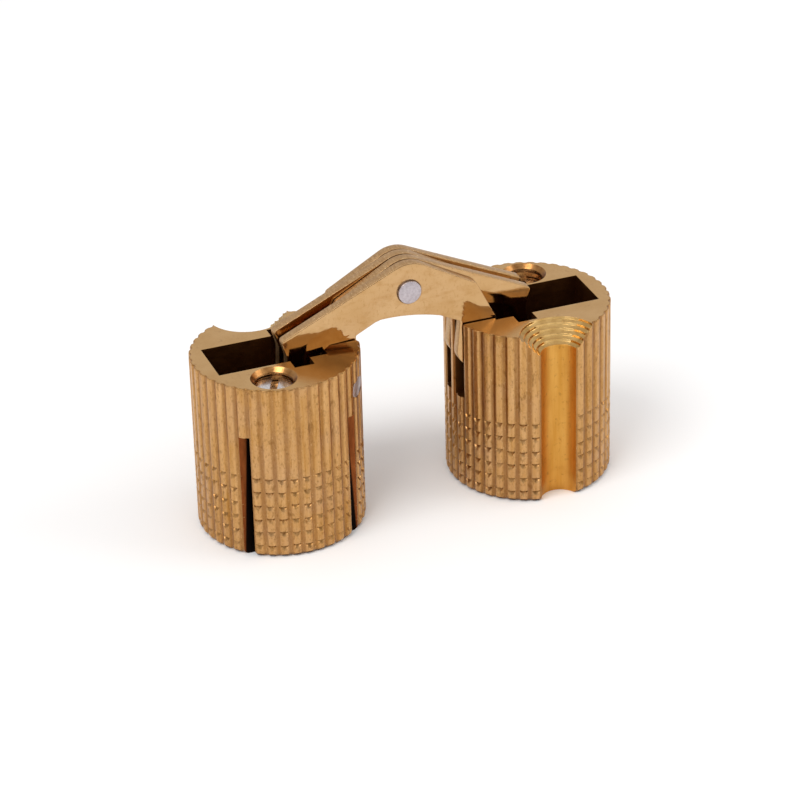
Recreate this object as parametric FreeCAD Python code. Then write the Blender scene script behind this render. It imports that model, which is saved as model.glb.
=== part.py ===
"""Concealed barrel hinge: two fluted brass barrels joined by a pack of four link plates.

Millimetres, +Z up. The origin is midway between the barrels, on the plane that they stand on.
The hinge is drawn open at 180 degrees. The left barrel is drawn in full, and the right barrel
with its pins and plates is the same set turned half round about the Z axis.
Heights marked "depth" are measured down from the barrels' top faces.
"""
import math
import os

import FreeCAD, Part

Vector = FreeCAD.Vector

# Barrel body
barrel_diameter = 14.0
barrel_height = 15.5
barrel_gap = 8.20
bottom_chamfer = 0.35
flute_count = 42
flute_width = 0.62
flute_floor = 0.14
flute_depth = 0.12

# Link plates, with their places given from the centre pin, X towards the fixed end
plate_thickness = 0.94
plate_pitch = 0.98
hub_radius = 2.55
slider_edge_slope = 24.8
fixed_edge_slope = 29.3
slider_eye_radius = 1.15
fixed_eye_radius = 1.40
plate_corner_round = 0.4
plate_small_round = 0.2
slider_tip = -11.10
slider_heel = (-10.68, -3.75)
slider_bend = (-7.90, -4.00)
foot_back = (-7.00, -3.40)
foot_front = (-4.75, -3.25)
foot_top = (-4.68, -2.79)
arch_start = (-2.86, -2.07)
arch_middle = (0.10, -2.17)
arch_end = (2.65, -2.73)
arch_foot = (4.38, -3.60)
fixed_edge_foot = (7.57, -3.84)
fixed_edge_lean = 63.8

# Pivots of the open hinge, with insets measured from the barrel's rim next to the other barrel
centre_height = 3.87
pivot_inset = 1.40
pivot_depth = 2.60
slider_inset = 5.63
slider_depth = 5.20
closed_gap = 0.30

# Pins
pivot_pin_diameter = 1.5
pivot_pin_blind = 2.5
slider_pin_diameter = 1.5
slider_end_play = 0.08
centre_pin_diameter = 2.0
centre_pin_proud = 0.12
pin_play = 0.03

# Pocket, guide grooves and link slots in each barrel
pocket_width = 4.72
pocket_outer_wall = 1.50
pocket_inner_inset = 3.28
pocket_floor_play = 0.35
groove_width = 1.68
groove_span = 7.06
link_slot_width = 1.20
link_slot_depth = 6.90

# Clamp screw with its tapered seat, saw cut, and side groove for a wood screw
screw_across = -1.60
screw_inset = 2.55
screw_hole_diameter = 3.1
screw_hole_chamfer = 0.35
screw_diameter = 3.0
screw_length = 4.30
screw_tip_diameter = 1.5
screw_slot_width = 0.55
screw_slot_depth = 0.65
screw_depth_left = 0.70
screw_depth_right = 1.25
screw_slot_turn_left = 65.0
screw_slot_turn_right = 72.0
seat_play = 0.06
pilot_depth = 8.0
saw_inset = 1.88
saw_width = 0.58
saw_depth = 4.50
side_groove_radius = 1.60
countersink_radius = 3.30

# Values worked out from the driving dimensions
barrel_radius = barrel_diameter / 2
axis_spacing = barrel_diameter + barrel_gap
left_axis = -axis_spacing / 2
top = barrel_height
lane_places = [(lane - 1.5) * plate_pitch for lane in range(4)]
slider_lanes = [lane_places[0], lane_places[2]]
fixed_lanes = [lane_places[1], lane_places[3]]
centre = Vector(axis_spacing / 2, 0, centre_height)
pivot = Vector(barrel_radius - pivot_inset, 0, -pivot_depth)
slider = Vector(barrel_radius - slider_inset, 0, -slider_depth)
pocket_outer = barrel_radius - pocket_outer_wall
pocket_inner = barrel_radius - pocket_inner_inset
screw_place = (screw_across, screw_inset - barrel_radius)
saw_place = saw_inset - barrel_radius
away = 40.0


def turned(vector, angle):
    """Turn a vector in the XZ plane, from X towards Z, by an angle in radians."""
    across = vector.x * math.cos(angle) - vector.z * math.sin(angle)
    up = vector.x * math.sin(angle) + vector.z * math.cos(angle)
    return Vector(across, 0, up)


def fold_angles():
    """Full turn of the fixed arm and of the slider arm, which together close the hinge."""
    arm = centre - pivot
    rise = closed_gap / 2 - pivot.z
    open_angle = math.atan2(arm.z, arm.x)
    closed_angle = math.pi - math.asin(rise / arm.Length)
    fixed_turn = closed_angle - open_angle
    return fixed_turn, math.pi - fixed_turn


fixed_turn, slider_turn = fold_angles()


def slider_path(part_way):
    """Place of the slider pin in the barrel, from 0 for open to 1 for closed."""
    hub = pivot + turned(centre - pivot, fixed_turn * part_way)
    return hub + turned(slider - centre, slider_turn * part_way)


pocket_depth = slider_eye_radius + pocket_floor_play - slider_path(1.0).z


def rod_along_y(place, radius, y_low, y_high):
    """Cylinder along Y through an XZ place."""
    start = Vector(place.x, y_low, place.z)
    return Part.makeCylinder(radius, y_high - y_low, start, Vector(0, 1, 0))


def block(x_low, x_high, y_low, y_high, z_low, z_high):
    """Box between two corners."""
    size = (x_high - x_low, y_high - y_low, z_high - z_low)
    return Part.makeBox(*size, Vector(x_low, y_low, z_low))


def half_round(shape):
    """Copy turned half round about the hinge's upright middle axis."""
    copy = shape.copy()
    copy.rotate(Vector(), Vector(0, 0, 1), 180)
    return copy


def placed_left(shape):
    """Copy moved from the barrel's own frame, with its top face at zero, to the left barrel."""
    copy = shape.copy()
    copy.translate(Vector(left_axis, 0, top))
    return copy


def ring_point(radius, angle, height):
    """Point on a circle about the barrel's axis."""
    return Vector(radius * math.cos(angle), radius * math.sin(angle), height)


def fluted_blank():
    """Barrel with flutes over its full height and a chamfered lower edge."""
    pitch = 2 * math.pi / flute_count
    mouth = flute_width / barrel_radius / 2
    floor = flute_floor / barrel_radius / 2
    low = -barrel_height
    root = barrel_radius - flute_depth
    edges = []
    for index in range(flute_count):
        valley = index * pitch
        first = ring_point(barrel_radius, valley - mouth, low)
        second = ring_point(root, valley - floor, low)
        third = ring_point(root, valley + floor, low)
        fourth = ring_point(barrel_radius, valley + mouth, low)
        crest = ring_point(barrel_radius, valley + pitch / 2, low)
        last = ring_point(barrel_radius, valley + pitch - mouth, low)
        edges += [Part.makeLine(first, second), Part.makeLine(second, third), Part.makeLine(third, fourth)]
        edges.append(Part.Arc(fourth, crest, last).toShape())
    fluted = Part.Face(Part.Wire(edges)).extrude(Vector(0, 0, barrel_height))
    straight = Part.makeCylinder(barrel_radius + 1, barrel_height, Vector(0, 0, low + bottom_chamfer))
    chamfer = Part.makeCone(barrel_radius - bottom_chamfer, barrel_radius, bottom_chamfer, Vector(0, 0, low))
    return fluted.common(straight.fuse(chamfer))


def groove_cut():
    """Guide groove: straight from the top face, then along the slider pin's path."""
    half = groove_width / 2
    reach = groove_span / 2
    steps = 12
    near_side = []
    far_side = []
    for step in range(steps + 1):
        part_way = step / steps
        here = slider_path(part_way)
        run = slider_path(part_way + 0.01) - slider_path(part_way - 0.01)
        run.normalize()
        side = Vector(-run.z, 0, run.x) * half
        near_side.append(here + side)
        far_side.append(here - side)
    ring = near_side + far_side[::-1]
    outline = Part.makePolygon(ring + ring[:1])
    track = Part.Face(outline).extrude(Vector(0, groove_span, 0))
    track.translate(Vector(0, -reach, 0))
    ends = [rod_along_y(slider_path(end), half, -reach, reach) for end in (0.0, 1.0)]
    entry = block(slider.x - half, slider.x + half, -reach, reach, slider.z, 1)
    return entry.fuse([track] + ends)


def clamp_hole_cut():
    """Clamp screw's hole: chamfer, plain bore, tapered seat across the saw cut, and pilot hole."""
    x, y = screw_place
    bore = screw_hole_diameter / 2
    pilot = screw_tip_diameter / 2 + seat_play
    taper = (screw_diameter - screw_tip_diameter) / 2
    seat_start = screw_depth_right + screw_length - taper + seat_play
    seat_end = seat_start + bore - pilot
    hole = Part.makeCylinder(bore, seat_start + 1, Vector(x, y, -seat_start))
    seat = Part.makeCone(pilot, bore, seat_end - seat_start, Vector(x, y, -seat_end))
    tip = Part.makeCylinder(pilot, pilot_depth, Vector(x, y, -pilot_depth))
    chamfer = Part.makeCone(bore, bore + screw_hole_chamfer, screw_hole_chamfer,
                            Vector(x, y, -screw_hole_chamfer))
    return hole.fuse([seat, tip, chamfer])


def barrel():
    """One barrel in its own frame, axis on Z and top face at zero."""
    half_pocket = pocket_width / 2
    pocket = block(-pocket_outer, pocket_inner, -half_pocket, half_pocket, -pocket_depth, 1)
    half_slot = link_slot_width / 2
    link_slots = [block(pocket_inner - 0.2, away, lane - half_slot, lane + half_slot, -link_slot_depth, 1)
                  for lane in fixed_lanes]
    half_saw = saw_width / 2
    saw_cut = block(-away, away, saw_place - half_saw, saw_place + half_saw, -away, -saw_depth)
    pin_hole = rod_along_y(pivot, pivot_pin_diameter / 2, -away, pivot_pin_blind)
    side_place = Vector(0, barrel_radius, -barrel_height - 1)
    side_groove = Part.makeCylinder(side_groove_radius, barrel_height + 2, side_place)
    sink_depth = countersink_radius - side_groove_radius
    countersink = Part.makeCone(side_groove_radius, countersink_radius, sink_depth,
                                Vector(0, barrel_radius, -sink_depth))
    cuts = [pocket, groove_cut(), clamp_hole_cut(), saw_cut, pin_hole, side_groove, countersink]
    return fluted_blank().cut(cuts + link_slots)


def tangent_point(outside, middle, radius, side):
    """Point where a line from an outside place touches a circle; side is 1 or -1."""
    gap = outside - middle
    lean = math.acos(radius / gap.Length) * side
    towards = turned(gap, lean)
    towards.normalize()
    return middle + towards * radius


def rounded_corner(solid, place, radius):
    """Round the corner of a plate at an XZ place."""
    corner = []
    for edge in solid.Edges:
        box = edge.BoundBox
        near = abs(box.XMin - place.x) + abs(box.XMax - place.x) < 1e-3
        level = abs(box.ZMin - place.z) + abs(box.ZMax - place.z) < 1e-3
        if near and level and box.YLength > plate_thickness / 2:
            corner.append(edge)
    return solid.makeFillet(radius, corner)


def plate(pivot_hole, slider_hole, hub_hole):
    """Link plate with its slider end to the left, seen from the front, centre pin at zero."""
    at = [Vector(x, 0, z) for x, z in (slider_heel, slider_bend, foot_back, foot_front, foot_top,
                                       arch_start, arch_middle, arch_end, arch_foot, fixed_edge_foot)]
    heel, bend, back, front, foot_high, arch_low, arch_high, arch_last, arch_toe, edge_toe = at
    fixed_eye = Vector(-(pivot.x - centre.x), 0, pivot.z - centre.z)
    slider_eye = slider - centre
    rise = math.radians(slider_edge_slope)
    fall = math.radians(fixed_edge_slope)
    lean = math.radians(fixed_edge_lean)
    hub_left = Vector(-math.sin(rise), 0, math.cos(rise)) * hub_radius
    hub_right = Vector(math.sin(fall), 0, math.cos(fall)) * hub_radius
    tip = Vector(slider_tip, 0, slider_tip * math.tan(rise) + hub_radius / math.cos(rise))
    shoulder_x = edge_toe.z + math.tan(lean) * edge_toe.x - hub_radius / math.cos(fall)
    shoulder_x /= math.tan(lean) - math.tan(fall)
    shoulder = Vector(shoulder_x, 0, hub_radius / math.cos(fall) - shoulder_x * math.tan(fall))
    fixed_out = tangent_point(edge_toe, fixed_eye, fixed_eye_radius, -1)
    fixed_in = tangent_point(arch_toe, fixed_eye, fixed_eye_radius, 1)
    slider_out = tangent_point(bend, slider_eye, slider_eye_radius, -1)
    slider_in = tangent_point(heel, slider_eye, slider_eye_radius, 1)
    fixed_low = fixed_eye - Vector(0, 0, fixed_eye_radius)
    slider_low = slider_eye - Vector(0, 0, slider_eye_radius)
    edges = [
        Part.Arc(hub_left, Vector(0, 0, hub_radius), hub_right).toShape(),
        Part.makeLine(hub_right, shoulder),
        Part.makeLine(shoulder, edge_toe),
        Part.makeLine(edge_toe, fixed_out),
        Part.Arc(fixed_out, fixed_low, fixed_in).toShape(),
        Part.makeLine(fixed_in, arch_toe),
        Part.makeLine(arch_toe, arch_last),
        Part.Arc(arch_last, arch_high, arch_low).toShape(),
        Part.makeLine(arch_low, foot_high),
        Part.makeLine(foot_high, front),
        Part.makeLine(front, back),
        Part.makeLine(back, bend),
        Part.makeLine(bend, slider_out),
        Part.Arc(slider_out, slider_low, slider_in).toShape(),
        Part.makeLine(slider_in, heel),
        Part.makeLine(heel, tip),
        Part.makeLine(tip, hub_left),
    ]
    solid = Part.Face(Part.Wire(edges)).extrude(Vector(0, plate_thickness, 0))
    for place in (tip, shoulder, edge_toe):
        solid = rounded_corner(solid, place, plate_corner_round)
    for place in (arch_toe, front, foot_high, back, bend):
        solid = rounded_corner(solid, place, plate_small_round)
    holes = [rod_along_y(fixed_eye, pivot_hole / 2, -1, 2),
             rod_along_y(slider_eye, slider_hole / 2, -1, 2),
             rod_along_y(Vector(), hub_hole / 2, -1, 2)]
    return solid.cut(holes)


def placed_plate(shape, lane):
    """Copy of a plate moved to a lane of the open hinge."""
    copy = shape.copy()
    copy.translate(Vector(0, lane - plate_thickness / 2, top + centre_height))
    return copy


def pivot_pin():
    """Fixed pivot pin, its visible end ground flush with the barrel's round side."""
    pin = rod_along_y(pivot, pivot_pin_diameter / 2, -away, pivot_pin_blind)
    root = barrel_radius - flute_depth / 2
    return pin.common(Part.makeCylinder(root, away, Vector(0, 0, -away)))


def slider_pin():
    """Pin across the slider ends of two plates, running in both guide grooves."""
    half = groove_span / 2 - slider_end_play
    return rod_along_y(slider, slider_pin_diameter / 2, -half, half)


def centre_pin():
    """Pin through the whole pack, a little proud on both sides."""
    half = plate_pitch * 2 + centre_pin_proud
    middle = Vector(0, 0, top + centre_height)
    return rod_along_y(middle, centre_pin_diameter / 2, -half, half)


def clamp_screw(depth, slot_turn):
    """Slotted set screw with a tapered tip, its top face the given depth below the barrel's."""
    x, y = screw_place
    radius = screw_diameter / 2
    taper = radius - screw_tip_diameter / 2
    end = -depth - screw_length
    shank = Part.makeCylinder(radius, screw_length - taper, Vector(x, y, end + taper))
    tip = Part.makeCone(screw_tip_diameter / 2, radius, taper, Vector(x, y, end))
    half = screw_slot_width / 2
    slot = block(x - radius - 1, x + radius + 1, y - half, y + half, -depth - screw_slot_depth, 1)
    slot.rotate(Vector(x, y, 0), Vector(0, 0, 1), slot_turn)
    return shank.fuse(tip).removeSplitter().cut(slot)


def export(name, shape):
    """Write one piece as a STEP file."""
    solid = shape.Solids[0] if len(shape.Solids) == 1 else shape
    solid.exportStep(os.path.join("parts", name + ".step"))


def main():
    os.makedirs("parts", exist_ok=True)
    left_barrel = placed_left(barrel())
    export("left_barrel", left_barrel)
    export("right_barrel", half_round(left_barrel))

    running_pivot = pivot_pin_diameter + 2 * pin_play
    running_hub = centre_pin_diameter + 2 * pin_play
    tight_plate = plate(running_pivot, slider_pin_diameter, centre_pin_diameter)
    loose_plate = plate(running_pivot, slider_pin_diameter, running_hub)
    for number, lane in zip((1, 3), slider_lanes):
        export("link_plate_%d" % number, placed_plate(tight_plate, lane))
    for number, lane in zip((2, 4), fixed_lanes):
        export("link_plate_%d" % number, half_round(placed_plate(loose_plate, -lane)))

    left_pin = placed_left(pivot_pin())
    export("left_pivot_pin", left_pin)
    export("right_pivot_pin", half_round(left_pin))
    left_slider = placed_left(slider_pin())
    export("left_slider_pin", left_slider)
    export("right_slider_pin", half_round(left_slider))
    export("centre_pin", centre_pin())

    left_screw = clamp_screw(screw_depth_left, screw_slot_turn_left)
    export("left_clamp_screw", placed_left(left_screw))
    right_screw = clamp_screw(screw_depth_right, screw_slot_turn_right)
    export("right_clamp_screw", half_round(placed_left(right_screw)))


main()
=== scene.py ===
"""Looks of the concealed barrel hinge: knurled brass barrels, polished link plates, steel pins and screws.

Every size is in metres in the shared frame: +Z up, the barrels standing on zero, the hinge open.
"""
import math
import random

import bmesh
import bpy
from mathutils import Matrix, Vector


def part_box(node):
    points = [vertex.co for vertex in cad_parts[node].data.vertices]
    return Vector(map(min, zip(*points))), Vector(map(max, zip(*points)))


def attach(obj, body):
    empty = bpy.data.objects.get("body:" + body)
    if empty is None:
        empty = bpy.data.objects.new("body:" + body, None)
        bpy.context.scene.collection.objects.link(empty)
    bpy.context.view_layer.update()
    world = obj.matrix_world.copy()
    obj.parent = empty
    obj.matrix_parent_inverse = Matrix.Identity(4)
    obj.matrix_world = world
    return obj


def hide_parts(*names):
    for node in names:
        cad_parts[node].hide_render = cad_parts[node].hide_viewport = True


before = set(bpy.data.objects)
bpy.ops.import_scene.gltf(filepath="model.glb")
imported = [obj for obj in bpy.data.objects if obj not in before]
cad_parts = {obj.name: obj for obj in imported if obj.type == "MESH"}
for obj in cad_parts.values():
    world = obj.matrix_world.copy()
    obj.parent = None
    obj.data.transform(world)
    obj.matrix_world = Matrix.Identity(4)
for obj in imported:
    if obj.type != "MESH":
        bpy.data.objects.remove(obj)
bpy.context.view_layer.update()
mm = 0.001

# Barrel sizes read from the frame
barrel_low, barrel_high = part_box("left_barrel")
axis_reach = -(barrel_low.x + barrel_high.x) / 2
barrel_radius = (barrel_high.x - barrel_low.x) / 2
barrel_top = barrel_high.z

# Flutes: shares are of a pitch, counted from the middle of a flute
flute_count = 42
columns_per_flute = 20
column_count = flute_count * columns_per_flute
flute_depth = 0.135 * mm
land_inset = 0.012 * mm
floor_share = 0.05
mouth_share = 0.35
top_edge_round = 0.10 * mm
bottom_edge_round = 0.45 * mm
face_inset = 0.002 * mm

# Rows of knurl dents: a steep lip above, a facet that narrows below
dent_rows = 6
dent_first = 8.2 * mm
dent_pitch = 1.25 * mm
dent_length = 0.44 * mm
dent_lip = 0.07 * mm
dent_depth = 0.22 * mm
dent_slip = 0.10 * mm
dent_parts_below = (-1.15, -1.0, -0.8, -0.6, -0.4, -0.22, -0.1, 0.0)
dent_parts_above = (0.4, 1.0, 1.8)
dent_window_below = 1.16
dent_window_above = 1.9
dent_faintest = 0.45
dent_mouth = (0.17, 0.27)
dent_spread = 0.30
dent_edge = (0.04, 0.06)
land_middle = 0.5
left_dents_seed = 11
right_dents_seed = 23
bottom_round_steps = 4
plain_depths = (7.4 * mm, 4 * mm, 0.3 * mm)

# Cuts of a barrel in its own frame: X towards the other barrel, Y to the back, depths from the top face
side_groove_radius = 1.6 * mm
sink_radius = 3.3 * mm
sink_steps = 5
sink_overcut = 0.02 * mm
sink_step_shape = ((0.0, 0.0), (0.12, 0.55), (0.5, 0.85))
screw_x = -1.6 * mm
screw_y = -4.45 * mm
screw_bore = 1.55 * mm
screw_reach = 1.95 * mm
thread_pitch = 0.5 * mm
thread_depth = 0.12 * mm
thread_start = 0.5 * mm
thread_turns = 7
saw_y = -5.12 * mm
saw_reach = 0.37 * mm
saw_start = 4.4 * mm
spin_steps = 96
weld_distance = 1e-7

# Telling cut faces apart: slopes are the upward part of a face's normal
sink_margin = 0.1 * mm
sink_slopes = (0.15, 0.95)
sink_deepest = 2 * mm
side_groove_margin = 0.15 * mm
flat_end_slope = 0.9999

# Edges and the pack of plates, angles in degrees
barrel_sharp_angle = 32
soft_sharp_angle = 40
bevel_angle = 30
flat_angle = 0.5
plate_bevel = 0.08 * mm
pin_bevel = 0.06 * mm
screw_bevel = 0.05 * mm
plate_share = 0.94

# Camera fitted to the photograph, from the point midway between the barrels on their top faces
camera_azimuth = math.radians(20.3022)
camera_elevation = math.radians(29.0503)
camera_roll = math.radians(-1.5696)
camera_distance = 274.19 * mm
camera_shift_right = -0.172 * mm
camera_shift_up = -6.227 * mm
focal_pixels = 3340.87
picture_pixels = 800
sensor_width = 36.0

# White room: its tones low in front, high in front and behind
low_front_tone = (0.30, 0.30, 0.31, 1)
high_front_tone = (0.92, 0.91, 0.90, 1)
back_tone = (0.72, 0.70, 0.70, 1)
floor_tone = (0.88, 0.88, 0.88, 1)


def linear(red, green, blue):
    """Scene-linear colour from screen values of 0 to 255."""
    values = []
    for value in (red, green, blue):
        share = value / 255
        values.append(share / 12.92 if share <= 0.04045 else ((share + 0.055) / 1.055) ** 2.4)
    return (*values, 1.0)


def smooth_step(low, high, value):
    """0 below low, 1 above high, and a smooth rise between."""
    share = min(max((value - low) / (high - low), 0.0), 1.0)
    return share * share * (3 - 2 * share)


class Nodes:
    """Short calls for adding and joining shader nodes."""

    def __init__(self, tree):
        self.tree = tree

    def feed(self, socket, value):
        """Set a socket, or link an output to it."""
        if isinstance(value, bpy.types.NodeSocket):
            self.tree.links.new(value, socket)
        else:
            socket.default_value = value

    def add(self, kind, inputs=None, **settings):
        """New node with its settings and its inputs by name or number."""
        node = self.tree.nodes.new(kind)
        for name, value in settings.items():
            setattr(node, name, value)
        for name, value in (inputs or {}).items():
            self.feed(node.inputs[name], value)
        return node

    def math(self, operation, first, second=0.0):
        """Output of a maths node."""
        return self.add("ShaderNodeMath", {0: first, 1: second}, operation=operation).outputs[0]

    def ramp(self, value, low, high, out_low=0.0, out_high=1.0):
        """Value mapped from one range to another, clamped."""
        inputs = {"Value": value, "From Min": low, "From Max": high, "To Min": out_low, "To Max": out_high}
        return self.add("ShaderNodeMapRange", inputs, clamp=True).outputs["Result"]

    def mix(self, factor, first, second):
        """Mix of two colours."""
        return self.add("ShaderNodeMix", {0: factor, 6: first, 7: second}, data_type="RGBA").outputs[2]

    def place(self):
        """Object coordinates, which are the shared frame."""
        return self.add("ShaderNodeTexCoord").outputs["Object"]

    def group(self, tree, inputs=None):
        """Outputs of a shared effect placed here with its own values."""
        node = self.add("ShaderNodeGroup", node_tree=tree)
        for name, value in (inputs or {}).items():
            self.feed(node.inputs[name], value)
        return node.outputs

    def mottle(self, scale, low=0.3, high=0.7, stretch=(1, 1, 1), detail=4.0):
        """Mask of soft noise from 0 to 1."""
        inputs = {"Scale": scale, "Low": low, "High": high, "Stretch": stretch, "Detail": detail}
        return self.group(mottle_effect, inputs)["Mask"]

    def patch(self, tone, colour, amount, *where):
        """Tone with a colour laid over it through a mottle mask."""
        return self.mix(self.math("MULTIPLY", self.mottle(*where), amount), tone, colour)

    def finish(self, relief, height, edge):
        """Normal of a worn edge and a fine relief."""
        inputs = {"Relief": relief, "Height": height, "Edge": edge}
        return self.group(finish_effect, inputs)["Normal"]


def new_effect(name, inputs, outputs):
    """Shared shader group, with its nodes, its input sockets and its output sockets."""
    tree = bpy.data.node_groups.new(name, "ShaderNodeTree")
    for socket_name, kind, value in inputs:
        socket = tree.interface.new_socket(name=socket_name, in_out="INPUT", socket_type=kind)
        socket.default_value = value
    for socket_name, kind in outputs:
        tree.interface.new_socket(name=socket_name, in_out="OUTPUT", socket_type=kind)
    nodes = Nodes(tree)
    return tree, nodes, nodes.add("NodeGroupInput").outputs, nodes.add("NodeGroupOutput").inputs


def make_mottle():
    """Noise on the shared frame, stretched and clipped to a mask."""
    inputs = (("Stretch", "NodeSocketVector", (1, 1, 1)), ("Scale", "NodeSocketFloat", 1000.0),
              ("Detail", "NodeSocketFloat", 4.0), ("Low", "NodeSocketFloat", 0.3),
              ("High", "NodeSocketFloat", 0.7))
    tree, nodes, given, result = new_effect("brass_mottle", inputs, (("Mask", "NodeSocketFloat"),))
    pulled = nodes.add("ShaderNodeVectorMath", {0: nodes.place(), 1: given["Stretch"]}, operation="MULTIPLY")
    noise = nodes.add("ShaderNodeTexNoise", {"Vector": pulled.outputs[0], "Scale": given["Scale"],
                                             "Detail": given["Detail"], "Roughness": 0.6})
    nodes.feed(result["Mask"], nodes.ramp(noise.outputs["Fac"], given["Low"], given["High"]))
    return tree


def make_finish():
    """Edges rounded by a small radius, with a fine relief over them."""
    inputs = (("Relief", "NodeSocketFloat", 0.5), ("Height", "NodeSocketFloat", 0.0),
              ("Edge", "NodeSocketFloat", 0.0))
    tree, nodes, given, result = new_effect("worn_finish", inputs, (("Normal", "NodeSocketVector"),))
    edge = nodes.add("ShaderNodeBevel", {"Radius": given["Edge"]}, samples=6)
    bump = nodes.add("ShaderNodeBump", {"Height": given["Relief"], "Distance": given["Height"],
                                        "Normal": edge.outputs["Normal"], "Strength": 0.8})
    nodes.feed(result["Normal"], bump.outputs["Normal"])
    return tree


def make_seam_shade():
    """Painted shade: tone darkened towards dark brown where other faces stand close, found by ambient
    occlusion.
    """
    inputs = (("Tone", "NodeSocketColor", (1, 1, 1, 1)), ("Reach", "NodeSocketFloat", 0.0),
              ("Amount", "NodeSocketFloat", 0.8))
    tree, nodes, given, result = new_effect("seam_painted_shade", inputs, (("Tone", "NodeSocketColor"),))
    # Painted shade: ambient occlusion darkens the tone towards dark brown where faces stand close.
    shelter = nodes.add("ShaderNodeAmbientOcclusion", {"Distance": given["Reach"]}, samples=6)
    closeness = nodes.ramp(shelter.outputs["AO"], 0.35, 0.85, 1.0, 0.0)
    hidden = nodes.math("MULTIPLY", closeness, given["Amount"])
    nodes.feed(result["Tone"], nodes.mix(hidden, given["Tone"], linear(52, 28, 12)))
    return tree


def make_barrel_place():
    """Distance from the nearer barrel's axis, height above the floor, and 0 for left or 1 for right."""
    outputs = (("Radius", "NodeSocketFloat"), ("Height", "NodeSocketFloat"), ("Side", "NodeSocketFloat"))
    tree, nodes, _, result = new_effect("barrel_place", (), outputs)
    parts = nodes.add("ShaderNodeSeparateXYZ", {0: nodes.place()}).outputs
    across = nodes.math("SUBTRACT", nodes.math("ABSOLUTE", parts[0]), axis_reach)
    across_square = nodes.math("MULTIPLY", across, across)
    along_square = nodes.math("MULTIPLY", parts[1], parts[1])
    nodes.feed(result["Radius"], nodes.math("SQRT", nodes.math("ADD", across_square, along_square)))
    nodes.feed(result["Height"], parts[2])
    nodes.feed(result["Side"], nodes.ramp(parts[0], -mm, mm))
    return tree


mottle_effect = make_mottle()
finish_effect = make_finish()
seam_shade_effect = make_seam_shade()
barrel_place_effect = make_barrel_place()


def new_metal(name):
    """Material with a metal shader, the helper for its nodes and the shader's inputs."""
    material = bpy.data.materials.new(name)
    material.use_nodes = True
    sockets = material.node_tree.nodes["Principled BSDF"].inputs
    sockets["Metallic"].default_value = 1.0
    return material, Nodes(material.node_tree), sockets


def side_brass():
    """Knurled outer side: golden lands, valleys and dents browned by grime and painted shade, fine drawing
    streaks and specks.
    """
    material, nodes, sockets = new_metal("side_brass")
    barrel_at = nodes.group(barrel_place_effect)
    streak = nodes.mottle(2600, 0.3, 0.7, (1, 1, 0.06), 5)
    cloud = nodes.mottle(320)
    tone = nodes.mix(streak, linear(178, 128, 66), linear(212, 166, 110))
    tone = nodes.patch(tone, linear(200, 160, 120), 0.55, 320, 0.45, 0.75)
    # Grime and painted shade: valleys and dents darken towards dark brown with their depth, a little more on
    # the right barrel, varied by a cloud.
    valley = nodes.ramp(barrel_at["Radius"], barrel_radius - flute_depth, barrel_radius - 0.05 * mm, 1.0, 0.0)
    side_grime_and_shade = nodes.ramp(barrel_at["Side"], 0, 1, 0.44, 0.56)
    grime_and_shade = nodes.math("MULTIPLY", side_grime_and_shade, nodes.ramp(cloud, 0, 1, 0.7, 1.25))
    tone = nodes.mix(nodes.math("MULTIPLY", valley, grime_and_shade), tone, linear(112, 64, 22))
    tone = nodes.patch(tone, linear(132, 88, 40), 0.6, 6500, 0.52, 0.72, (1, 1, 0.5))
    tone = nodes.patch(tone, linear(232, 194, 140), 0.4, 6500, 0.60, 0.72, (1.3, 1.3, 0.6))
    tone = nodes.patch(tone, linear(118, 78, 34), 0.6, 2100, 0.58, 0.70, (1, 1, 0.55))
    nodes.feed(sockets["Base Color"], tone)
    nodes.feed(sockets["Roughness"], nodes.ramp(streak, 0, 1, 0.26, 0.40))
    grain = nodes.math("ADD", streak, nodes.math("MULTIPLY", nodes.mottle(9000), 0.5))
    nodes.feed(sockets["Normal"], nodes.finish(grain, 0.009 * mm, 0.03 * mm))
    return material


def turned_brass():
    """Turned end face: a soft mirror with very fine rings round the barrel's axis."""
    material, nodes, sockets = new_metal("turned_brass")
    barrel_at = nodes.group(barrel_place_effect)
    turns = nodes.math("MULTIPLY", barrel_at["Radius"], 52000)
    rings = nodes.math("SINE", nodes.math("ADD", turns, nodes.math("MULTIPLY", nodes.mottle(900), 4)))
    cloud = nodes.mottle(420)
    tone = nodes.mix(cloud, linear(204, 161, 102), linear(216, 176, 120))
    tone = nodes.patch(tone, linear(150, 104, 62), 0.3, 1700, 0.60, 0.72)
    nodes.feed(sockets["Base Color"], tone)
    nodes.feed(sockets["Roughness"], nodes.ramp(cloud, 0, 1, 0.15, 0.24))
    nodes.feed(sockets["Normal"], nodes.finish(nodes.ramp(rings, -1, 1), 0.0014 * mm, 0.05 * mm))
    return material


def shaded_milled_brass():
    """Milled inner faces: a dark brown base as painted shade of the pockets, slots and holes, with cutter
    marks.
    """
    material, nodes, sockets = new_metal("shaded_milled_brass")
    marks = nodes.mottle(1500, 0.3, 0.7, (1, 1, 6))
    # Painted shade: the dark brown base stands in for the shade inside pockets, slots and holes.
    nodes.feed(sockets["Base Color"], nodes.mix(nodes.mottle(500), linear(92, 52, 24), linear(126, 80, 40)))
    nodes.feed(sockets["Roughness"], nodes.ramp(marks, 0, 1, 0.38, 0.52))
    nodes.feed(sockets["Normal"], nodes.finish(marks, 0.005 * mm, 0.04 * mm))
    return material


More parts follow.
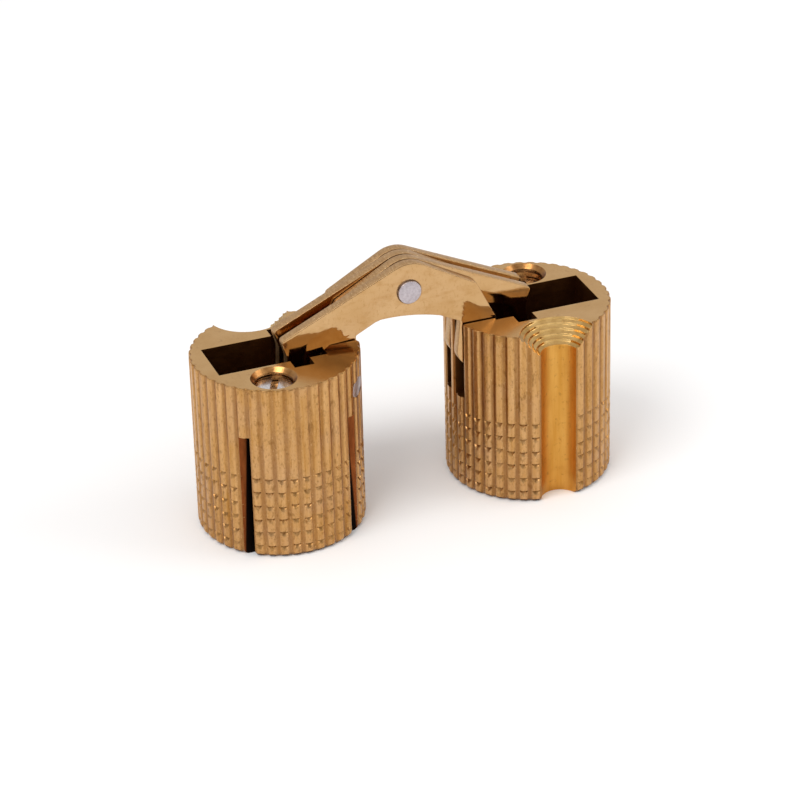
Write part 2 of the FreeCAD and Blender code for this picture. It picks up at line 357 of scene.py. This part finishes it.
def shaded_sawn_brass():
    """Saw cut: rough, its reddish brown mouth darkened as painted shade, and a painted black shadow further
    in.
    """
    material, nodes, sockets = new_metal("shaded_sawn_brass")
    barrel_at = nodes.group(barrel_place_effect)
    marks = nodes.mottle(3200, 0.3, 0.7, (1, 1, 0.2))
    # Painted shadow: the cut turns black deeper in, from a depth that grows with height; the reddish brown of
    # the mouth is darkened as painted shade.
    reach = nodes.math("ADD", barrel_at["Radius"], nodes.math("MULTIPLY", barrel_at["Height"], 0.036))
    painted_shadow = nodes.ramp(reach, barrel_radius - 0.20 * mm, barrel_radius - 0.12 * mm, 1.0, 0.0)
    tone = nodes.mix(marks, linear(114, 58, 26), linear(156, 88, 44))
    nodes.feed(sockets["Base Color"], nodes.mix(painted_shadow, tone, linear(20, 12, 8)))
    sockets["Roughness"].default_value = 0.55
    nodes.feed(sockets["Normal"], nodes.finish(marks, 0.008 * mm, 0.04 * mm))
    return material


def groove_brass():
    """Half-round side groove: satin gold with faint stains."""
    material, nodes, sockets = new_metal("groove_brass")
    streak = nodes.mottle(1600, 0.3, 0.7, (1, 1, 0.08))
    tone = nodes.mix(streak, linear(202, 144, 62), linear(220, 166, 84))
    tone = nodes.patch(tone, linear(184, 124, 46), 0.5, 380, 0.5, 0.8)
    tone = nodes.patch(tone, linear(140, 92, 40), 0.5, 2600, 0.60, 0.72)
    nodes.feed(sockets["Base Color"], tone)
    nodes.feed(sockets["Roughness"], nodes.ramp(nodes.mottle(380), 0, 1, 0.34, 0.48))
    nodes.feed(sockets["Normal"], nodes.finish(streak, 0.001 * mm, 0.05 * mm))
    return material


def sink_brass():
    """Countersink: bright turned steps, with painted shade darkening their corners."""
    material, nodes, sockets = new_metal("sink_brass")
    tone = nodes.mix(nodes.mottle(900), linear(170, 128, 66), linear(222, 184, 120))
    # Painted shade in the corners of the steps.
    tone = nodes.group(seam_shade_effect, {"Tone": tone, "Reach": 0.3 * mm, "Amount": 0.9})["Tone"]
    nodes.feed(sockets["Base Color"], tone)
    sockets["Roughness"].default_value = 0.08
    marks = nodes.mottle(7000, 0.3, 0.7, (0.3, 0.3, 1))
    nodes.feed(sockets["Normal"], nodes.finish(marks, 0.003 * mm, 0.03 * mm))
    return material


def thread_brass():
    """Threaded wall of the clamp screw's hole."""
    material, nodes, sockets = new_metal("thread_brass")
    tone = nodes.mix(nodes.mottle(1400), linear(128, 84, 44), linear(178, 132, 80))
    nodes.feed(sockets["Base Color"], tone)
    sockets["Roughness"].default_value = 0.24
    nodes.feed(sockets["Normal"], nodes.finish(nodes.mottle(6000), 0.003 * mm, 0.03 * mm))
    return material


def plate_face_brass():
    """Polished plate faces with faint smears and flecks, and painted shade where plates stand close."""
    material, nodes, sockets = new_metal("plate_face_brass")
    tone = nodes.mix(nodes.mottle(260, 0.35, 0.7), linear(194, 154, 104), linear(204, 166, 120))
    tone = nodes.patch(tone, linear(176, 132, 78), 0.55, 900, 0.5, 0.72, (1, 1, 2.2), 5)
    tone = nodes.patch(tone, linear(164, 120, 66), 0.5, 5200, 0.56, 0.72, (1, 1, 0.45), 3)
    # Painted shade where plates stand close.
    tone = nodes.group(seam_shade_effect, {"Tone": tone, "Reach": 0.22 * mm, "Amount": 0.75})["Tone"]
    nodes.feed(sockets["Base Color"], tone)
    nodes.feed(sockets["Roughness"], nodes.ramp(nodes.mottle(900, 0.3, 0.7, (1, 1, 2.2)), 0, 1, 0.06, 0.12))
    nodes.feed(sockets["Normal"], nodes.finish(nodes.mottle(7000), 0.0008 * mm, 0.03 * mm))
    return material


def plate_edge_brass():
    """Sheared plate edges: matte, with fine lines across the plate's thickness and bright flecks, and painted
    shade in the seams between plates.
    """
    material, nodes, sockets = new_metal("plate_edge_brass")
    lines = nodes.mottle(12000, 0.3, 0.7, (1, 0.14, 1))
    tone = nodes.mix(lines, linear(172, 132, 86), linear(208, 172, 126))
    tone = nodes.patch(tone, linear(190, 154, 118), 0.4, 500, 0.5, 0.8)
    tone = nodes.patch(tone, linear(240, 214, 168), 0.8, 6000, 0.58, 0.70)
    # Painted shade in the seams between plates.
    tone = nodes.group(seam_shade_effect, {"Tone": tone, "Reach": 0.25 * mm, "Amount": 0.85})["Tone"]
    nodes.feed(sockets["Base Color"], tone)
    nodes.feed(sockets["Roughness"], nodes.ramp(lines, 0, 1, 0.36, 0.5))
    nodes.feed(sockets["Normal"], nodes.finish(lines, 0.008 * mm, 0.03 * mm))
    return material


def pin_steel():
    """Ground steel pin ends, grey with a fine speckle."""
    material, nodes, sockets = new_metal("pin_steel")
    speckle = nodes.mottle(5200)
    tone = nodes.mix(speckle, linear(176, 166, 170), linear(202, 194, 198))
    tone = nodes.patch(tone, linear(92, 84, 86), 0.5, 5200, 0.66, 0.74)
    nodes.feed(sockets["Base Color"], tone)
    nodes.feed(sockets["Roughness"], nodes.ramp(nodes.mottle(700), 0, 1, 0.34, 0.46))
    nodes.feed(sockets["Normal"], nodes.finish(speckle, 0.003 * mm, 0.05 * mm))
    return material


def screw_zinc():
    """Bright zinc plating of the clamp screws."""
    material, nodes, sockets = new_metal("screw_zinc")
    scratch = nodes.mottle(2600, 0.3, 0.7, (3, 0.6, 1))
    nodes.feed(sockets["Base Color"], nodes.mix(scratch, linear(196, 192, 194), linear(246, 244, 244)))
    nodes.feed(sockets["Roughness"], nodes.ramp(scratch, 0, 1, 0.16, 0.30))
    nodes.feed(sockets["Normal"], nodes.finish(scratch, 0.003 * mm, 0.05 * mm))
    return material


def new_object(name, data):
    """Object in the scene that holds a mesh, a camera or a light."""
    thing = bpy.data.objects.new(name, data)
    bpy.context.scene.collection.objects.link(thing)
    return thing


def finished_mesh(name, work, materials):
    """Mesh from a bmesh, with its material slots and without the CAD copy's stored normals."""
    data = bpy.data.meshes.new(name)
    work.to_mesh(data)
    work.free()
    stored = data.attributes.get("custom_normal")
    if stored:
        data.attributes.remove(stored)
    for material in materials:
        data.materials.append(material)
    return data


def smooth_shaded(data, angle):
    """Smooth faces with edges kept sharp above an angle in degrees."""
    data.shade_smooth()
    data.set_sharp_from_angle(angle=math.radians(angle))


def dressed(thing, node, body):
    """Piece that takes a CAD node's place on its body."""
    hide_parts(node)
    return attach(thing, body)


def welded_copy(node):
    """Copy of a CAD node with its loose triangles merged."""
    work = bmesh.new()
    work.from_mesh(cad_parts[node].data)
    bmesh.ops.remove_doubles(work, verts=work.verts, dist=weld_distance)
    return work


def dent_fall(share, rise):
    """Depth of a dent from 0 to 1, at a share of a pitch and a rise above its row."""
    if rise >= 0:
        return smooth_step(*dent_mouth, abs(share)) * max(0.0, 1 - rise / dent_lip)
    fade = max(0.0, 1 + rise / dent_length)
    edge = land_middle - dent_spread * fade
    return smooth_step(edge - dent_edge[0], edge + dent_edge[1], abs(share)) * fade


def dent_row_height(row):
    """Height of a row of dents above the floor."""
    return barrel_top - dent_first - row * dent_pitch


def skin_levels():
    """Heights of the skin's rings from the bottom up, each with the inset of the rounded ends."""
    levels = []
    for step in range(bottom_round_steps + 1):
        angle = step / bottom_round_steps * math.pi / 2
        height = face_inset + bottom_edge_round * (1 - math.cos(angle))
        levels.append((height, bottom_edge_round * (1 - math.sin(angle))))
    for row in range(dent_rows):
        levels += [(dent_row_height(row) + part * dent_length, 0.0) for part in dent_parts_below]
        levels += [(dent_row_height(row) + part * dent_lip, 0.0) for part in dent_parts_above]
    levels += [(barrel_top - depth, 0.0) for depth in (*plain_depths, top_edge_round)]
    levels.append((barrel_top - top_edge_round * 0.3, top_edge_round * 0.3))
    levels.append((barrel_top - face_inset, top_edge_round))
    return sorted(levels)


def dent_chances(seed):
    """Strength and slip of every dent, by land and row."""
    chance = random.Random(seed)
    strength = {}
    slip = {}
    for land in range(flute_count + 1):
        for row in range(dent_rows):
            strength[land, row] = chance.uniform(dent_faintest, 1.0)
            slip[land, row] = chance.uniform(-dent_slip, dent_slip)
    return strength, slip


def knurl_ring(verts, height, inset, chances):
    """Press flutes and dents into one ring of the skin."""
    strength, slip = chances
    lowest = -dent_length * dent_window_below
    highest = dent_lip * dent_window_above
    rows = [row for row in range(dent_rows) if lowest < height - dent_row_height(row) < highest]
    for vert in verts:
        angle = math.atan2(vert.co.y, vert.co.x)
        column = round(angle / (2 * math.pi) * column_count)
        flute = math.floor(column / columns_per_flute + 0.5)
        share = column / columns_per_flute - flute
        land = (flute if share > 0 else flute - 1) % flute_count
        fall = flute_depth * (1 - smooth_step(floor_share, mouth_share, abs(share)))
        for row in rows:
            fall += dent_depth * strength[land, row] * dent_fall(share, height - dent_row_height(row))
            vert.co.z += slip[land, row]
        shrink = (barrel_radius - land_inset - fall - inset) / barrel_radius
        vert.co.x *= shrink
        vert.co.y *= shrink


def knurled_skin(seed):
    """Closed knurled skin of a barrel in its own frame: a circle drawn up ring by ring."""
    work = bmesh.new()
    bmesh.ops.create_circle(work, cap_ends=False, radius=barrel_radius, segments=column_count)
    levels = skin_levels()
    bmesh.ops.translate(work, verts=work.verts, vec=(0, 0, levels[0][0]))
    rim = list(work.edges)
    rings = [list(work.verts)]
    for (lower, _), (upper, _) in zip(levels, levels[1:]):
        made = bmesh.ops.extrude_edge_only(work, edges=rim)["geom"]
        ring = [item for item in made if isinstance(item, bmesh.types.BMVert)]
        fresh = set(ring)
        rim = [item for item in made if isinstance(item, bmesh.types.BMEdge) and fresh.issuperset(item.verts)]
        bmesh.ops.translate(work, verts=ring, vec=(0, 0, upper - lower))
        rings.append(ring)
    chances = dent_chances(seed)
    for ring, (height, inset) in zip(rings, levels):
        knurl_ring(ring, height, inset, chances)
    open_edges = [edge for edge in work.edges if edge.is_boundary]
    for cap in bmesh.ops.holes_fill(work, edges=open_edges, sides=0)["faces"]:
        cap.material_index = 1
    bmesh.ops.recalc_face_normals(work, faces=work.faces)
    return work


def spun_cutter(profile, x, y, slot):
    """Turned cutter from a profile of radius and height pairs, its axis upright at a place."""
    work = bmesh.new()
    verts = [work.verts.new((x + radius, y, height)) for radius, height in profile]
    edges = [work.edges.new(pair) for pair in zip(verts, verts[1:])]
    bmesh.ops.spin(work, geom=verts + edges, cent=(x, y, 0), axis=(0, 0, 1), angle=2 * math.pi,
                   steps=spin_steps, use_merge=True)
    bmesh.ops.remove_doubles(work, verts=work.verts, dist=weld_distance)
    bmesh.ops.recalc_face_normals(work, faces=work.faces)
    for face in work.faces:
        face.material_index = slot
    return work


def sink_cutter():
    """Cutter for the countersink's turned steps."""
    step = (sink_radius - side_groove_radius) / sink_steps
    profile = [(0, barrel_top + mm), (sink_radius + sink_overcut, barrel_top + mm)]
    for number in range(sink_steps):
        radius = sink_radius + sink_overcut - number * step
        height = barrel_top - number * step
        profile += [(radius - across * step, height - down * step) for across, down in sink_step_shape]
    floor = barrel_top - sink_steps * step
    profile += [(side_groove_radius + sink_overcut, floor), (0, floor)]
    return spun_cutter(profile, 0, barrel_radius, 4)


def thread_cutter():
    """Cutter for the thread in the clamp screw's hole."""
    start = barrel_top - thread_start
    profile = [(0, start)]
    for turn in range(thread_turns):
        height = start - turn * thread_pitch
        profile += [(screw_bore, height), (screw_bore + thread_depth, height - thread_pitch / 2)]
    floor = start - thread_turns * thread_pitch
    profile += [(screw_bore, floor), (0, floor)]
    return spun_cutter(profile, screw_x, screw_y, 5)


def cut_slot(face, side):
    """Material slot of a cut face: 2 milled, 3 side groove, 4 countersink, 5 screw hole, 6 saw cut."""
    centre = face.calc_center_median()
    x = centre.x * side + axis_reach
    y = centre.y * side
    depth = barrel_top - centre.z
    from_groove = math.hypot(x, y - barrel_radius)
    slanted = sink_slopes[0] < face.normal.z < sink_slopes[1]
    if from_groove < sink_radius + sink_margin and slanted and depth < sink_deepest:
        return 4
    if from_groove < side_groove_radius + side_groove_margin:
        return 3
    if depth > saw_start and abs(y - saw_y) < saw_reach:
        return 6
    if math.hypot(x - screw_x, y - screw_y) < screw_reach:
        return 5
    return 2


def barrel(name, node, body, side, seed, materials):
    """Knurled barrel: its skin with every pocket, slot and hole of the CAD node, and turned cuts."""
    half_turn = Matrix.Rotation(0 if side > 0 else math.pi, 4, "Z")
    placing = Matrix.Translation((-axis_reach * side, 0, 0)) @ half_turn
    core = welded_copy(node)
    for face in core.faces:
        face.material_index = cut_slot(face, side)
    skin = knurled_skin(seed)
    steps = sink_cutter()
    thread = thread_cutter()
    for work in (skin, steps, thread):
        bmesh.ops.transform(work, matrix=placing, verts=work.verts)
    thing = new_object(name, finished_mesh(name, skin, materials))
    tools = []
    for label, work, operation in (("core", core, "INTERSECT"), ("steps", steps, "DIFFERENCE"),
                                   ("thread", thread, "DIFFERENCE")):
        tool = new_object(label, finished_mesh(label, work, materials))
        cut = thing.modifiers.new(label, "BOOLEAN")
        cut.operation = operation
        cut.solver = "EXACT"
        cut.object = tool
        tools.append(tool)
    graph = bpy.context.evaluated_depsgraph_get()
    thing.data = bpy.data.meshes.new_from_object(thing.evaluated_get(graph))
    thing.modifiers.clear()
    for tool in tools:
        bpy.data.objects.remove(tool)
    smooth_shaded(thing.data, barrel_sharp_angle)
    for face in thing.data.polygons:
        face.use_smooth = abs(face.normal.z) < flat_end_slope
    return dressed(thing, node, body)


def softened(name, node, body, materials, bevel):
    """CAD node with small bevels; a second material goes to the edges of a plate, drawn a little thinner."""
    work = welded_copy(node)
    is_plate = len(materials) > 1
    if is_plate:
        low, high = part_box(node)
        middle = Vector((0, (low.y + high.y) / 2, 0))
        bmesh.ops.scale(work, vec=(1, plate_share, 1), space=Matrix.Translation(-middle), verts=work.verts)
    bmesh.ops.dissolve_limit(work, angle_limit=math.radians(flat_angle), verts=work.verts, edges=work.edges)
    least = math.radians(bevel_angle)
    sharp = [edge for edge in work.edges if edge.is_manifold and edge.calc_face_angle(0.0) > least]
    bmesh.ops.bevel(work, geom=sharp, offset=bevel, segments=2, profile=0.5, affect="EDGES",
                    clamp_overlap=True, material=-1)
    for face in work.faces:
        face.material_index = 1 if is_plate and abs(face.normal.y) < 0.5 else 0
    data = finished_mesh(name, work, materials)
    smooth_shaded(data, soft_sharp_angle)
    return dressed(new_object(name, data), node, body)


def build_hinge():
    """All pieces of the hinge with their finishes."""
    barrel_set = [side_brass(), turned_brass(), shaded_milled_brass(), groove_brass(), sink_brass(), thread_brass(),
                  shaded_sawn_brass()]
    barrel("barrel_left", "left_barrel", "left_side", 1, left_dents_seed, barrel_set)
    barrel("barrel_right", "right_barrel", "right_side", -1, right_dents_seed, barrel_set)
    plate_set = [plate_face_brass(), plate_edge_brass()]
    for number, body in ((1, "link_a"), (2, "link_b"), (3, "link_a"), (4, "link_b")):
        softened("plate_%d" % number, "link_plate_%d" % number, body, plate_set, plate_bevel)
    steel = [pin_steel()]
    pins = (("left_pivot_pin", "left_side"), ("right_pivot_pin", "right_side"), ("left_slider_pin", "link_a"),
            ("right_slider_pin", "link_b"), ("centre_pin", "link_a"))
    for node, body in pins:
        softened(node + "_ground", node, body, steel, pin_bevel)
    zinc = [screw_zinc()]
    for node, body in (("left_clamp_screw", "left_screw"), ("right_clamp_screw", "right_screw")):
        softened(node + "_plated", node, body, zinc, screw_bevel)


def build_camera():
    """Camera at the photograph's viewing angle."""
    back = Vector((-math.sin(camera_azimuth) * math.cos(camera_elevation),
                   -math.cos(camera_azimuth) * math.cos(camera_elevation), math.sin(camera_elevation)))
    level = Vector((math.cos(camera_azimuth), -math.sin(camera_azimuth), 0))
    upright = back.cross(level)
    right = level * math.cos(camera_roll) + upright * math.sin(camera_roll)
    up = upright * math.cos(camera_roll) - level * math.sin(camera_roll)
    aim = Vector((0, 0, barrel_top))
    place = aim + right * camera_shift_right + up * camera_shift_up + back * camera_distance
    lens = bpy.data.cameras.new("camera")
    lens.sensor_width = sensor_width
    lens.lens = focal_pixels / picture_pixels * sensor_width
    lens.clip_start = 0.01
    lens.clip_end = 20
    camera = new_object("camera", lens)
    camera.matrix_world = Matrix.Translation(place) @ Matrix((right, up, back)).transposed().to_4x4()
    bpy.context.scene.camera = camera


def soft_box(name, place, size, power):
    """Square area light that looks at the hinge."""
    light = bpy.data.lights.new(name, "AREA")
    light.size = size
    light.energy = power
    lamp = new_object(name, light)
    lamp.location = place
    lamp.rotation_euler = (Vector((0, 0, 0.01)) - Vector(place)).to_track_quat("-Z", "Y").to_euler()


def build_floor():
    """Plain pale floor."""
    work = bmesh.new()
    bmesh.ops.create_grid(work, x_segments=2, y_segments=2, size=3.0)
    paper = bpy.data.materials.new("floor_paper")
    paper.use_nodes = True
    sockets = paper.node_tree.nodes["Principled BSDF"].inputs
    sockets["Base Color"].default_value = floor_tone
    sockets["Roughness"].default_value = 0.9
    new_object("floor", finished_mesh("floor", work, [paper]))


def build_light():
    """White room, dimmer low in front, with two soft boxes."""
    world = bpy.data.worlds.new("studio")
    world.use_nodes = True
    backdrop = world.node_tree.nodes["Background"].inputs
    nodes = Nodes(world.node_tree)
    view_way = nodes.add("ShaderNodeTexCoord").outputs["Generated"]
    ways = nodes.add("ShaderNodeSeparateXYZ", {0: view_way}).outputs
    ahead = nodes.mix(nodes.ramp(ways[2], 0.12, 0.5), low_front_tone, high_front_tone)
    nodes.feed(backdrop["Color"], nodes.mix(nodes.ramp(ways[1], -0.2, 0.6), ahead, back_tone))
    bpy.context.scene.world = world
    soft_box("key_box", (-0.26, -0.16, 0.40), 0.26, 1.15)
    soft_box("fill_box", (0.34, -0.12, 0.22), 0.26, 0.5)


build_hinge()
build_camera()
build_floor()
build_light()
bpy.context.scene.view_settings.view_transform = "Standard"
